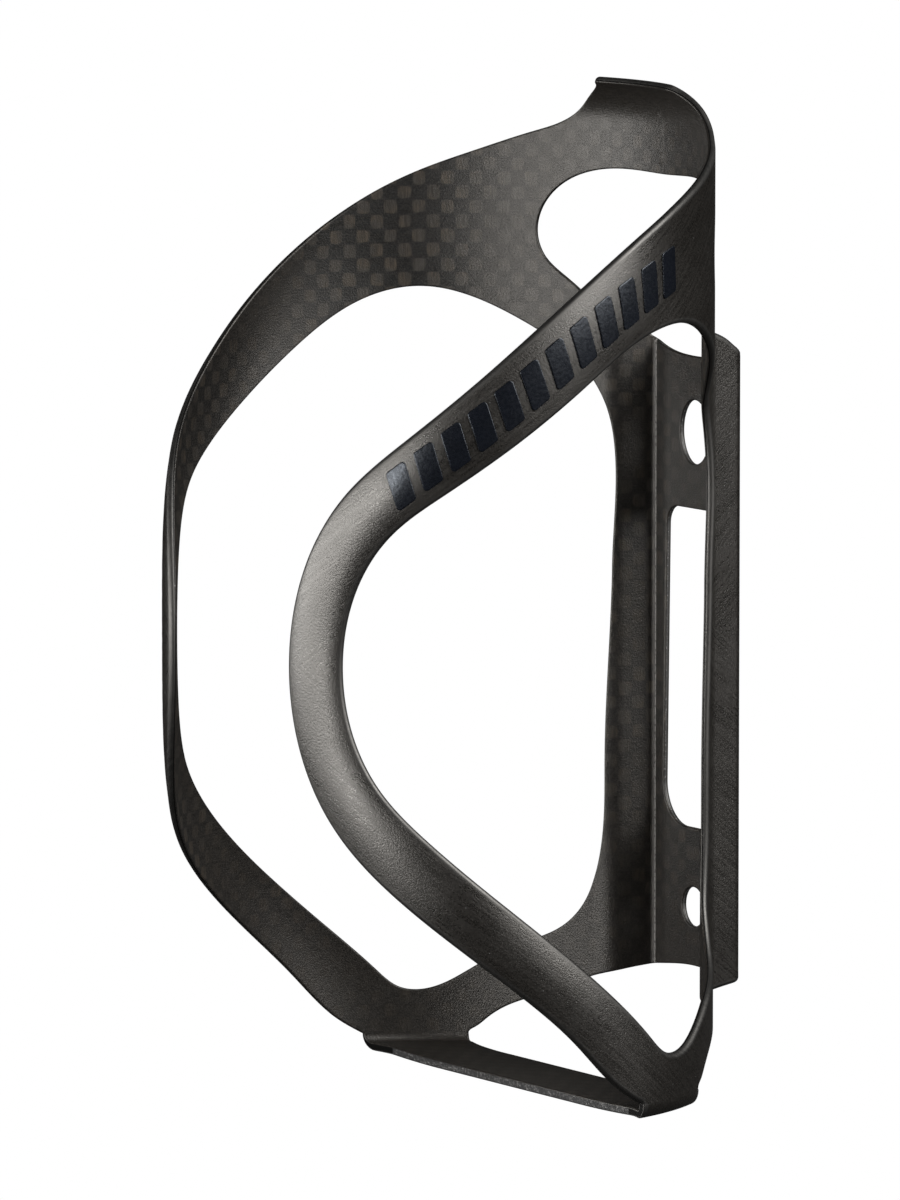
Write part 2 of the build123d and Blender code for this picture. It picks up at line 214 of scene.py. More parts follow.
def spline(points, step=EDGE_STEP, start=None, end=None):
    """Points about step apart on the cubic spline through some points, which it always hits.

    start and end are its directions there; left out, it runs out straight.
    """
    p = np.array(points, float)
    chord = np.linalg.norm(np.diff(p, axis=0), axis=1)
    last = len(p) - 1
    a = np.zeros((last + 1, last + 1))
    b = np.zeros_like(p)
    for i in range(1, last):
        before, after = chord[i - 1], chord[i]
        a[i, i - 1:i + 2] = after, 2 * (before + after), before
        b[i] = 3 * (after * (p[i] - p[i - 1]) / before + before * (p[i + 1] - p[i]) / after)
    for i, beside, direction, leg in ((0, 1, start, chord[0]), (last, last - 1, end, chord[-1])):
        a[i, i] = 1
        if direction is None:
            a[i, beside] = 0.5
            b[i] = 1.5 * (p[max(i, beside)] - p[min(i, beside)]) / leg
        else:
            b[i] = unit(direction)
    slope = np.linalg.solve(a, b)
    found = [p[:1]]
    for i in range(last):
        count = max(1, round(chord[i] / step))
        t = (np.arange(1, count + 1) / count)[:, None]
        leg = chord[i]
        found.append(
            p[i] * (1 - t) ** 2 * (1 + 2 * t)
            + p[i + 1] * t ** 2 * (3 - 2 * t)
            + slope[i] * leg * t * (1 - t) ** 2
            - slope[i + 1] * leg * t ** 2 * (1 - t)
        )
    return np.concatenate(found)


# The arm's middle line, finely sampled, as (s, z, half width, crown)
ARM_LINE = spline([(s_at(a), z, w / 2, c) for a, z, w, c in ARM_STATIONS], 0.05)
ARM_ALONG = unit(np.gradient(ARM_LINE[:, :2], axis=0))
ARM_ACROSS = np.stack([-ARM_ALONG[:, 1], ARM_ALONG[:, 0]], axis=1)  # towards the outer edge


def crown_drop(s, z):
    """How far the arm's crowned section falls away, at points of the sheet."""
    drop = np.zeros(len(s))
    start = s_at(ARM_STATIONS[0][0])
    stride = 8
    coarse = ARM_LINE[::stride]
    for i in np.nonzero(s > start)[0]:
        first = int(np.argmin((coarse[:, 0] - s[i]) ** 2 + (coarse[:, 1] - z[i]) ** 2)) * stride
        window = slice(max(first - stride, 0), first + stride + 1)
        gap = np.array([s[i], z[i]]) - ARM_LINE[window, :2]
        best = int(np.argmin((gap ** 2).sum(axis=1)))
        j = window.start + best
        across = gap[best] @ ARM_ACROSS[j]
        drop[i] = ARM_LINE[j, 3] * (across / ARM_LINE[j, 2]) ** 2
    fade = np.clip((s - start) / CROWN_FADE, 0, 1)
    return drop * fade * fade * (3 - 2 * fade)


def middle_surface(s, z):
    """Points of the laminate's middle surface."""
    x, y, heading = plan(s, z)
    curl = np.clip(z - BRIDGE_TOP_Z, 0, None) / TAB_BEND_R
    drop = crown_drop(s, z) + TAB_BEND_R * (1 - np.cos(curl))
    height = np.minimum(z, BRIDGE_TOP_Z) + TAB_BEND_R * np.sin(curl)
    return np.stack([x - np.sin(heading) * drop, y - np.cos(heading) * drop, height], axis=1)


def directions(surface, a, b, small):
    """Directions of both coordinates on a surface."""
    along_a = surface(a + small, b) - surface(a - small, b)
    along_b = surface(a, b + small) - surface(a, b - small)
    return unit(along_a), unit(along_b)


def tangents(s, z):
    """Directions of s and of z on the middle surface."""
    return directions(middle_surface, s, z, 0.08)


def outward(along_s, along_z):
    """Directions out of the sheet, away from the bottle."""
    return unit(np.cross(along_z, along_s))


# ---------------------------------------------------------------- outlines of the flat sheet

def corner_arc(corner, before, after, radius):
    """Rounds a corner between two directions."""
    before, after = unit(before), unit(after)
    turn = math.acos(np.clip(before @ after, -1, 1))
    reach = radius * math.tan(turn / 2)
    first = np.array(corner) - reach * before
    side = unit(after - (after @ before) * before)
    angles = np.linspace(0, turn, max(4, round(radius * turn / (EDGE_STEP / 2))) + 1)[:, None]
    return first + radius * (np.sin(angles) * before + (1 - np.cos(angles)) * side)


def straight(first, last):
    """Even points from one place to another."""
    count = max(1, round(math.dist(first, last) / EDGE_STEP))
    return np.linspace(first, last, count + 1)


def join(*stretches):
    """One chain from stretches, dropping a point that the next one repeats."""
    chain = [np.atleast_2d(stretches[0])]
    for stretch in stretches[1:]:
        stretch = np.atleast_2d(stretch)
        repeated = np.allclose(stretch[0], chain[-1][-1], atol=1e-6)
        chain.append(stretch[1:] if repeated else stretch)
    return np.concatenate(chain)


def arm_edge(station, side):
    """Point of an arm's outer (+1) or inner (-1) edge beside a station."""
    angle, z, width = ARM_STATIONS[station][:3]
    j = int(np.argmin(np.hypot(ARM_LINE[:, 0] - s_at(angle), ARM_LINE[:, 1] - z)))
    return tuple(ARM_LINE[j, :2] + side * ARM_ACROSS[j] * width / 2)


def by_angle(*points):
    """Places on the sheet from (angle, z) pairs."""
    return [(s_at(angle), z) for angle, z in points]


def bottom_outline():
    """Lower edge: along the spine's bottom and up over the lower window, to the fold."""
    points = [
        (0, PLATE_BOTTOM_Z),
        (PLATE_EDGE_S, 11.9),
        (18.8, 10.1),
        *by_angle((30, 8.1), (39.5, 6.1), (43.6, 5.0), (47.2, 3.5), (49.9, 2.2)),
    ]
    fold = (s_at(FOLD_BACK_ANGLE), FOLD_Z)
    return spline([*points, fold], start=(1, 0), end=(0.25, -1))


def outer_outline():
    """From the front of the fold, round the arm's outer edge, to the middle of the tab."""
    side_direction = (-0.42, 0.91)
    corner = (s_at(TAB_CORNER_ANGLE), TAB_TOP_Z)
    round_corner = corner_arc(corner, side_direction, (-1, 0), TAB_CORNER_R)
    fold = (s_at(FOLD_FRONT_ANGLE), FOLD_Z)
    arm = [arm_edge(i, 1) for i in range(LAST_ARM, FIRST_ARM - 1, -1)]
    gusset = by_angle(
        (62, 118.7), (50, 121.4), (37, 124.1), (BORDER_ANGLE, 125.6), (25.6, 127.4), (22.3, 129.5),
    )
    sweep = spline([fold, *arm, *gusset, round_corner[0]], end=side_direction)
    top = straight(round_corner[-1], (RING_S, TAB_TOP_Z))
    return join(sweep, round_corner, top)


def upper_window_outline():
    """From the bridge's lower edge in the middle, out round the tip, to the spine plate's top."""
    points = [
        (RING_S, 119.4),
        *by_angle((23, 119.0), (BORDER_ANGLE, 117.2), (34.9, 113.8), (36, 110.2), (34.2, 107.3)),
        *by_angle((BORDER_ANGLE, 105.0), (26, 103.2)),
        (16.4, 99.9),
        (14.2, 99.1),
        (12.0, 98.1),
        (10.4, 97.0),
        (PLATE_EDGE_S, 96.3),
        (0, PLATE_TOP_Z),
    ]
    return spline(points, start=(1, 0), end=(-1, 0))


def main_window_outline():
    """The big opening between arm and spine, clockwise from half way up the wall's free edge."""
    arm = [arm_edge(i, -1) for i in range(FIRST_ARM, LAST_ARM + 1)]
    points = [
        (16.0, 65.0),
        (15.7, 82.0),
        (18.4, 90.8),
        *by_angle((30, 95.2), (40, 98.7), (50, 101.5), (61, 103.0)),
        *arm,
        *by_angle((66.5, 7.75), (61.0, 7.4), (52, 9.8), (42, 13.3), (30, 16.6)),
        (19.6, 20.6),
        (17.4, 27.5),
        (16.9, 40.0),
        (16.0, 65.0),
    ]
    return spline(points, start=(0, 1), end=(-0.02, 1))


def half_round(centre_z, half_width, half_height):
    """Right half of a hole in the plate, from its top to its bottom."""
    count = round(math.pi * half_height / EDGE_STEP)
    angle = np.linspace(0, math.pi, count + 1)
    return np.stack([half_width * np.sin(angle), centre_z + half_height * np.cos(angle)], axis=1)


def slot_outline():
    """Right half of the lightening slot, from its top to its bottom."""
    top_half, top_z, top_r = SLOT_TOP
    bottom_half, bottom_z, bottom_r = SLOT_BOTTOM
    side = (bottom_half - top_half, bottom_z - top_z)
    upper = corner_arc((top_half, top_z), (1, 0), side, top_r)
    lower = corner_arc((bottom_half, bottom_z), side, (-1, 0), bottom_r)
    return join(
        straight((0, top_z), upper[0]),
        upper,
        straight(upper[-1], lower[0]),
        lower,
        straight(lower[-1], (0, bottom_z)),
    )


# ---------------------------------------------------------------- meshing the flat sheet

def sides_of(face):
    """Pairs of neighbouring corners, right round."""
    return zip(face, face[1:] + face[:1])


class Sheet:
    """The right half of the flat sheet: its points, its faces, and the distance to the edge."""

    def __init__(self):
        self.points = []
        self.inset = []          # distance in from a cut edge, or a large number
        self.off_edge = []       # flat direction from the material out over the nearest edge
        self.faces = []
        self.barriers = set()    # edges that part two zones
        self.rim = []            # edges of the area inside the edge strips
        self.loops = []          # the points round that area and round its hole
        self.chains = []         # each cut edge and its rows of points

    def add(self, point, inset=FAR_FROM_EDGE, off_edge=(0.0, 0.0)):
        self.points.append(tuple(point))
        self.inset.append(inset)
        self.off_edge.append(tuple(off_edge))
        return len(self.points) - 1

    def edge_strip(self, chain, closed=False, first=None, last=None):
        """Rows of quads along a cut edge, with the material on the left of the chain.

        first and last are the directions inwards at the ends, along the lines they stop on.
        """
        if closed:
            chain = chain[:-1]
            step = np.roll(chain, -1, axis=0) - np.roll(chain, 1, axis=0)
        else:
            step = np.gradient(chain, axis=0)
        step = unit(step)
        inwards = np.stack([-step[:, 1], step[:, 0]], axis=1)
        if not closed:
            inwards[0] = first
            inwards[-1] = last
        rows = [
            [self.add(p + inset * n, inset, -n) for p, n in zip(chain, inwards)]
            for inset in EDGE_ROWS
        ]
        count = len(chain)
        legs = range(count if closed else count - 1)
        for outer, inner in zip(rows, rows[1:]):
            for i in legs:
                j = (i + 1) % count
                self.faces.append((outer[i], outer[j], inner[j], inner[i]))
        self.rim += [(rows[-1][i], rows[-1][(i + 1) % count]) for i in legs]
        self.chains.append((chain, rows))
        return rows[-1]

    def line(self, first, last):
        """A constraint line inside the sheet from one point to another, divided evenly."""
        a, b = np.array(self.points[first]), np.array(self.points[last])
        count = max(1, round(np.linalg.norm(b - a) / GRID_STEP))
        middle = [self.add(a + (b - a) * i / count) for i in range(1, count)]
        ids = [first, *middle, last]
        pairs = list(zip(ids, ids[1:]))
        self.rim.extend(pairs)
        return pairs

    def at_edge(self, point):
        """Index in its rows, and those rows, of the edge sample nearest a point."""
        found = []
        for chain, rows in self.chains:
            gaps = np.linalg.norm(chain - np.array(point), axis=1)
            found.append((gaps.min(), int(gaps.argmin()), rows))
        return min(found, key=lambda item: item[0])[1:]

    def part_zones(self, first, last):
        """Parts two zones from one edge sample to another, right through both edge strips."""
        ends = []
        for point in (first, last):
            index, rows = self.at_edge(point)
            column = [row[index] for row in rows]
            self.wall_off(zip(column, column[1:]))
            ends.append(column[-1])
        self.wall_off(self.line(*ends))
        return ends

    def wall_off(self, pairs):
        self.barriers.update(frozenset(pair) for pair in pairs)

    def fill(self, outer_loop, hole_loop):
        """Triangles between the loops of last rows, with an even grid of points inside."""
        self.loops = [np.array([self.points[i] for i in loop]) for loop in (outer_loop, hole_loop)]
        on_rim = {i for pair in self.rim for i in pair}
        rim_points = np.array(self.points)[sorted(on_rim)]
        low, high = rim_points.min(axis=0), rim_points.max(axis=0)
        row_gap = GRID_STEP * math.sqrt(3) / 2
        for r in range(int((high[1] - low[1]) / row_gap) + 1):
            z = low[1] + r * row_gap
            s = np.arange(low[0] + (r % 2) * GRID_STEP / 2, high[0], GRID_STEP)
            row = np.stack([s, np.full(len(s), z)], axis=1)
            in_bends = (z < CHANNEL_TOP_Z) & (s > PLATE_EDGE_S - BEND_STEP) & (s < JOIN_S + GRID_STEP)
            self.add_clear(row[~in_bends], rim_points, 0.6 * GRID_STEP)
        self.add_clear(self.bend_columns(low[1], CHANNEL_TOP_Z), rim_points, 0.5 * BEND_STEP)
        free = {i for i, inset in enumerate(self.inset) if inset > EDGE_ROWS[-1]}
        used = sorted(on_rim | free)
        place = {index: k for k, index in enumerate(used)}
        flat = [Vector(self.points[i]) for i in used]
        edges = [(place[a], place[b]) for a, b in self.rim]
        out = delaunay_2d_cdt(flat, edges, [], 0, 1e-6)
        origin = [used[ids[0]] for ids in out[3]]
        corners = np.array([[tuple(out[0][i]) for i in face] for face in out[2]])
        keep = self.inside(corners.mean(axis=1))
        for face, wanted in zip(out[2], keep):
            if wanted:
                self.faces.append(self.anticlockwise([origin[i] for i in face]))

    def add_clear(self, places, rim_points, clearance):
        """Adds the places that lie inside the sheet and clear of the points on its rim."""
        for p in places[self.inside(places)]:
            if np.hypot(*(rim_points - p).T).min() > clearance:
                self.add(p)

    def bend_columns(self, low, high):
        """Even rows of points across the spine's bends, close together round each bend."""
        corner_start, wall_start, flare_start = CHANNEL[1:4, 0]
        columns = np.concatenate([
            np.arange(corner_start, wall_start + BEND_STEP, BEND_STEP),
            np.arange(wall_start + 2 * GRID_STEP, flare_start - GRID_STEP, GRID_STEP),
            np.arange(flare_start, JOIN_S + 2 * BEND_STEP, 2 * BEND_STEP),
        ])
        heights = np.arange(low, high, GRID_STEP)
        s, z = np.meshgrid(columns, heights)
        return np.stack([s.ravel(), z.ravel()], axis=1)

    def anticlockwise(self, face):
        (a_s, a_z), (b_s, b_z), (c_s, c_z) = (self.points[i] for i in face)
        turn = (b_s - a_s) * (c_z - a_z) - (b_z - a_z) * (c_s - a_s)
        return tuple(face) if turn > 0 else tuple(reversed(face))

    def inside(self, places):
        """Which places lie inside the outer loop and outside the hole."""
        crossed = np.zeros(len(places), bool)
        for loop in self.loops:
            for (x1, y1), (x2, y2) in zip(loop, np.roll(loop, -1, axis=0)):
                if y1 != y2:
                    spans = (y1 > places[:, 1]) != (y2 > places[:, 1])
                    reach = x1 + (places[:, 1] - y1) * (x2 - x1) / (y2 - y1)
                    crossed ^= spans & (places[:, 0] < reach)
        return crossed

    def zone_of_faces(self, seeds):
        """Spreads each zone's name from a seed place to every face up to the barriers."""
        beside = {}
        for f, face in enumerate(self.faces):
            for pair in sides_of(face):
                beside.setdefault(frozenset(pair), []).append(f)
        points = np.array(self.points)
        centres = np.array([points[list(face)].mean(axis=0) for face in self.faces])
        zones = [None] * len(self.faces)
        for name, place in seeds.items():
            stack = [int(np.argmin(np.hypot(*(centres - np.array(place)).T)))]
            zones[stack[0]] = name
            while stack:
                face = self.faces[stack.pop()]
                for pair in sides_of(face):
                    if frozenset(pair) in self.barriers:
                        continue
                    for other in beside[frozenset(pair)]:
                        if zones[other] is None:
                            zones[other] = name
                            stack.append(other)
        return zones


def mesh_flat_sheet():
    """The right half of the cage's sheet, with a zone's name for each face."""
    sheet = Sheet()
    up, down, left, right = (0, 1), (0, -1), (-1, 0), (1, 0)
    bottom = sheet.edge_strip(bottom_outline(), first=up, last=right)
    outer = sheet.edge_strip(outer_outline(), first=left, last=down)
    window = sheet.edge_strip(upper_window_outline(), first=up, last=down)
    hole_outlines = (
        half_round(UPPER_BOLT_Z, OVAL_HALF_WIDTH, OVAL_HALF_HEIGHT),
        slot_outline(),
        half_round(LOWER_BOLT_Z, BOLT_HOLE_R, BOLT_HOLE_R),
    )
    holes = [sheet.edge_strip(outline, first=up, last=down) for outline in hole_outlines]
    main = sheet.edge_strip(main_window_outline(), closed=True)

    loop = list(bottom)
    for part in (outer, window, *holes):
        loop += [i for pair in sheet.line(loop[-1], part[0]) for i in pair[1:]]
        loop += part[1:]
    loop += [i for pair in sheet.line(loop[-1], loop[0]) for i in pair[1:]]
    loop = loop[:-1]

    border = s_at(BORDER_ANGLE)
    sheet.part_zones((PLATE_EDGE_S, 96.3), (PLATE_EDGE_S, 11.9))
    sheet.part_zones((border, 105.0), (border, 95.2))
    sheet.part_zones((border, 16.6), (border, 8.2))
    bridge_end = sheet.part_zones((border, 117.2), (border, BRIDGE_TOP_Z))[1]
    sheet.part_zones(arm_edge(FIRST_ARM, 1), arm_edge(FIRST_ARM, -1))
    sheet.part_zones(arm_edge(LAST_ARM, 1), arm_edge(LAST_ARM, -1))
    middle_line = [i for i in loop if abs(sheet.points[i][0] - RING_S) < 1e-6]
    bridge_middle = min(middle_line, key=lambda i: abs(sheet.points[i][1] - BRIDGE_TOP_Z))
    sheet.wall_off(sheet.line(bridge_middle, bridge_end))
    sheet.fill(loop, main)

    zones = sheet.zone_of_faces({
        "spine_plate": (4, 90),
        "side_wall": (12, 60),
        "upper_gusset": (s_at(50), 112),
        "rear_bridge": (s_at(15), 122),
        "retention_tab": (s_at(8), 129),
        "arm": (s_at(148.8), 60.7),
        "lower_gusset": (s_at(62), 4),
    })
    return sheet, zones


# ---------------------------------------------------------------- rolling it up into pieces

def roll_up(sheet, zones):
    """Both halves of the cage as one set of arrays in three dimensions."""
    flat = np.array(sheet.points)
    inset = np.array(sheet.inset)
    off_edge = np.array(sheet.off_edge)
    s, z = flat.T
    place = middle_surface(s, z)
    along_s, along_z = tangents(s, z)
    outwards = outward(along_s, along_z)
    over_edge = off_edge[:, :1] * along_s + off_edge[:, 1:] * along_z

    count = len(flat)
    on_middle = np.abs(place[:, 0]) < 1e-6
    twin = np.where(on_middle, np.arange(count), np.arange(count) + count)
    halves = {
        "place": (place, MIRROR),
        "outwards": (outwards, MIRROR),
        "over_edge": (over_edge, MIRROR),
        "inset": (inset, 1.0),
        "flat": (flat, MIRROR[:2]),
    }
    both = {key: np.concatenate([half, half * flip]) for key, (half, flip) in halves.items()}
    faces = {}
    for face, zone in zip(sheet.faces, zones):
        mirrored = tuple(int(twin[i]) for i in reversed(face))
        if zone in ("spine_plate", "rear_bridge", "retention_tab"):
            faces.setdefault(zone, []).extend([face, mirrored])
        else:
            faces.setdefault(f"right_{zone}", []).append(face)
            faces.setdefault(f"left_{zone}", []).append(mirrored)
    return both, faces


def rounding(inset, radius):
    """How far a face falls at a distance in from its edge, and how much its normal leans over."""
    gap = np.clip(radius - inset, 0, radius)
    return radius - np.sqrt(radius ** 2 - gap ** 2), gap / radius


def one_side(place, outwards, over_edge, depth, sign, fall, lean):
    """Points and normals of a piece's outer (+1) or inner (-1) face."""
    points = place + outwards * (depth - sign * fall)[:, None]
    normals = sign * outwards * np.sqrt(1 - lean ** 2)[:, None] + over_edge * lean[:, None]
    return points, normals


def build_layer(name, rolled, faces, low, high, materials):
    """One closed piece: the sheet between two depths. Cut edges are rounded on its bare faces.

    materials are those of its outer face, its inner face and its cut edges.
    """
    used = sorted({i for face in faces for i in face})
    local = {index: k for k, index in enumerate(used)}
    place, outwards, over_edge, inset, flat = (
        rolled[key][used] for key in ("place", "outwards", "over_edge", "inset", "flat")
    )
    level = np.zeros(len(used))
    outer_rounding = rounding(inset, OUTER_ROUND) if high == OUTSIDE else (level, level)
    inner_rounding = rounding(inset, INNER_ROUND) if low == INSIDE else (level, level)
    sides = (
        one_side(place, outwards, over_edge, high, 1, *outer_rounding),
        one_side(place, outwards, over_edge, low, -1, *inner_rounding),
    )
    ids = [[local[i] for i in face] for face in faces]
    facts = np.concatenate([np.column_stack([flat, level + depth]) for depth in (high, low)])
    return shell(name, sides, ids, over_edge, inset, level + 2, materials, facts)


def open_sides(faces):
    """Directed sides of faces that no other face shares."""
    sides = dict.fromkeys(pair for face in faces for pair in sides_of(face))
    return [(a, b) for a, b in sides if (b, a) not in sides]


def shell(name, sides, faces, over_edge, inset, edge_slots, materials, facts):
    """A closed piece between two faces, from the points and normals of both.

    The faces' corners run clockwise, seen from outside. edge_slots holds the material of a cut
    edge at each point.
    """
    (outer_points, outer_normals), (inner_points, inner_normals) = sides
    count = len(outer_points)
    mesh_faces, corner_normals, slots = [], [], []
    for ids in faces:
        mesh_faces += [ids[::-1], [i + count for i in ids]]
        corner_normals += [outer_normals[i] for i in ids[::-1]]
        corner_normals += [inner_normals[i] for i in ids]
        slots += [0, 1]
    for a, b in open_sides(faces):
        mesh_faces.append([a, b, b + count, a + count])
        cut = inset[a] == 0 and inset[b] == 0
        corner_normals += [over_edge[i] if cut else FLAT_SHADED for i in (a, b, b, a)]
        slots.append(int(min(edge_slots[a], edge_slots[b])))
    points = np.concatenate([outer_points, inner_points]) * MM
    from_edge = np.concatenate([inset, inset])
    return make_piece(name, points, mesh_faces, corner_normals, slots, materials, facts, from_edge)


def add_object(name, data):
    thing = bpy.data.objects.new(name, data)
    bpy.context.scene.collection.objects.link(thing)
    return thing


def make_piece(name, points, faces, corner_normals, slots, materials, facts, from_edge):
    """A mesh object with its own normals, and the sheet's own coordinates for its materials."""
    mesh = bpy.data.meshes.new(name)
    mesh.from_pydata([tuple(p) for p in points], [], faces)
    for material in materials:
        mesh.materials.append(material)
    mesh.polygons.foreach_set("material_index", slots)
    mesh.polygons.foreach_set("use_smooth", [True] * len(faces))
    mesh.attributes.new("sheet", "FLOAT_VECTOR", "POINT").data.foreach_set(
        "vector", facts.astype(np.float32).ravel())
    mesh.attributes.new("from_edge", "FLOAT", "POINT").data.foreach_set(
        "value", from_edge.astype(np.float32))
    mesh.normals_split_custom_set([tuple(n) for n in corner_normals])
    mesh.update()
    return add_object(name, mesh)


# ---------------------------------------------------------------- seat and bars

def seat_surface(u, v):
    """Middle of the strip. u runs from its front to its back, 0 to 1.

    v runs from the right wall to the left one, -2 to 2, and the folds lie beyond -1 and 1.
    """
    fold_front_y = MID_R * math.cos(math.radians(FOLD_FRONT_ANGLE))
    fold_back_y = MID_R * math.cos(math.radians(FOLD_BACK_ANGLE))
    off_middle = np.abs(v)
    in_fold = off_middle > 1
    bend_long = FOLD_R * math.pi / 2
    bend = np.clip(off_middle - 1, 0, None) * math.pi / 2
    from_fold = (2 - np.maximum(off_middle, 1)) * bend_long + np.clip(1 - off_middle, 0, 1) * MID_R
    blend = np.clip(from_fold / SEAT_SETTLE, 0, 1)
    blend = blend * blend * (3 - 2 * blend)
    y = (fold_front_y + (SEAT_FRONT_Y - fold_front_y) * blend) * (1 - u)
    y += (fold_back_y + (SEAT_BACK_Y - fold_back_y) * blend) * u
    flat_end = np.sqrt(MID_R ** 2 - y ** 2) - FOLD_R
    x = np.where(in_fold, flat_end + FOLD_R * np.sin(bend), flat_end * off_middle)
    rise = np.clip((np.abs(x) - SEAT_FLAT_HALF) / (flat_end - SEAT_FLAT_HALF), 0, 1)
    flat_z = SEAT_MID_Z + (FOLD_Z - FOLD_R - SEAT_MID_Z) * rise ** 2
    z = np.where(in_fold, FOLD_Z - FOLD_R * np.cos(bend), flat_z)
    return np.stack([-np.sign(v) * x, y, z], axis=1)


def build_seat(materials):
    """The strip across the bottom, bent in from both skirts with a rounded fold.

    materials are those of its top, its underside, its cut edges and the sealed ends of those.
    """
    width = SEAT_BACK_Y - SEAT_FRONT_Y
    rows = np.array(EDGE_ROWS) / width
    across = np.concatenate([rows, np.linspace(rows[-1], 1 - rows[-1], 11)[1:-1], 1 - rows[::-1]])
    half = np.concatenate([np.linspace(2, 1, 13), np.linspace(1, 0, 41)[1:]])
    along = np.concatenate([-half, half[::-1][1:]])
    u, v = (grid.ravel() for grid in np.meshgrid(across, along, indexing="ij"))
    place = seat_surface(u, v)
    along_u, along_v = directions(seat_surface, u, v, 1e-3)
    outwards = unit(np.cross(along_u, along_v))
    over_edge = along_u * np.where(u < 0.5, -1, 1)[:, None]
    inset = np.minimum(u, 1 - u) * width
    thick = OUTSIDE + (SEAT_HALF_THICK - OUTSIDE) * np.clip((2 - np.abs(v)) / SEAT_THIN_SHARE, 0, 1)
    fall, lean = rounding(inset, INNER_ROUND)
    sides = [one_side(place, outwards, over_edge, sign * thick, sign, fall, lean) for sign in (1, -1)]
    columns = len(along)
    corners = [i * columns + j for i in range(len(across) - 1) for j in range(columns - 1)]
    faces = [[a + 1, a + columns + 1, a + columns, a] for a in corners]
    edge_slots = np.where(np.abs(v) >= SEALED_FROM, 3, 2)
    facts = np.tile(place - np.array([0, PATTERN_SHIFT, 0]), (2, 1))
    return shell("bottle_seat_strip", sides, faces, over_edge, inset, edge_slots, materials, facts)


BAR_COUNT = 12
BAR_FIRST_T = 0.02     # share of the way along the arm's middle line
BAR_LAST_T = 0.318
BAR_LONG = 3.0         # along the arm
BAR_SLANT = 1.8        # its upper end lies this much further back along the arm
BAR_HIGH = (5.8, 4.8)  # across the arm, of the first bar and the last
BAR_CORNER_R = 0.45
BAR_GAP = 0.02
BAR_THICK = 0.15
# Rings of a bar's surface from its foot to its flat top: inset, share of the height, lean
BAR_RINGS = (
    (0.0, 0.0, 1.0),
    (0.0, 0.55, 1.0),
    (0.03, 0.84, 0.75),
    (0.08, 0.97, 0.3),
    (0.15, 1.0, 0.0),
)
BAR_TOP_SCALES = (0.75, 0.5, 0.25)


def bar_outline(high):
    """Slanted bar with rounded corners, and the directions out from it, as (along, across)."""
    near = (BAR_LONG - BAR_SLANT) / 2
    far = (BAR_LONG + BAR_SLANT) / 2
    corners = np.array([(-far, high / 2), (-near, -high / 2), (far, -high / 2), (near, high / 2)])
    sides = np.roll(corners, -1, axis=0) - corners
    arcs = [corner_arc(corners[i], sides[i - 1], sides[i], BAR_CORNER_R) for i in range(4)]
    outline = []
    for arc, after in zip(arcs, arcs[1:] + arcs[:1]):
        outline.append(arc[:-1])
        outline.append(straight(arc[-1], after[0])[:-1])
    outline = np.concatenate(outline)
    step = unit(np.roll(outline, -1, axis=0) - np.roll(outline, 1, axis=0))
    return outline, np.stack([step[:, 1], -step[:, 0]], axis=1)


def on_arm(j, local):
    """Flat (s, z) of places given as (along, across) from sample j of the arm's middle line."""
    return ARM_LINE[j, :2] + local[:, :1] * ARM_ALONG[j] + local[:, 1:] * ARM_ACROSS[j]


def build_bars(name, mirrored, material):
    """Slanted gloss bars that follow the arm's surface, each a closed pad."""
    points, normals, facts, faces = [], [], [], []
    legs = np.diff(ARM_LINE[:, :2], axis=0, prepend=ARM_LINE[:1, :2])
    reach = np.cumsum(np.linalg.norm(legs, axis=1))
    for bar in range(BAR_COUNT):
        share = bar / (BAR_COUNT - 1)
        t = BAR_FIRST_T + share * (BAR_LAST_T - BAR_FIRST_T)
        j = int(np.searchsorted(reach, t * reach[-1]))
        outline, out = bar_outline(BAR_HIGH[0] + share * (BAR_HIGH[1] - BAR_HIGH[0]))
        rings = [(outline - inset * out, lift, lean) for inset, lift, lean in BAR_RINGS]
        rings += [(rings[-1][0] * scale, 1.0, 0.0) for scale in BAR_TOP_SCALES]
        rings.append((np.zeros((1, 2)), 1.0, 0.0))
        first = len(points)
        for local, lift, lean in rings:
            s, z = on_arm(j, local).T
            along_s, along_z = tangents(s, z)
            outwards = outward(along_s, along_z)
            off = (on_arm(j, out) - ARM_LINE[j, :2])[:len(local)]
            sideways = off[:, :1] * along_s + off[:, 1:] * along_z
            height = OUTSIDE + BAR_GAP + lift * BAR_THICK
            points += list(middle_surface(s, z) + outwards * height)
            normals += list(outwards * math.sqrt(1 - lean ** 2) + sideways * lean)
            facts += [(a, b, OUTSIDE) for a, b in zip(s, z)]
        count = len(outline)
        last = first + (len(rings) - 2) * count
        for i in range(count):
            k = (i + 1) % count
            faces += [[a + i, a + k, a + count + k, a + count + i] for a in range(first, last, count)]
            faces.append([last + i, last + k, last + count])
        faces.append(list(reversed(range(first, first + count))))
    points, normals = np.array(points), np.array(normals)
    if mirrored:
        points *= MIRROR
        normals *= MIRROR
    else:
        faces = [face[::-1] for face in faces]      # s runs to the left, seen from outside
    corner_normals = [normals[i] if len(face) < 5 else FLAT_SHADED for face in faces for i in face]
    return make_piece(
        name, points * MM, faces, corner_normals, [0] * len(faces), [material],
        np.array(facts), np.full(len(points), FAR_FROM_EDGE),
    )


# ---------------------------------------------------------------- materials

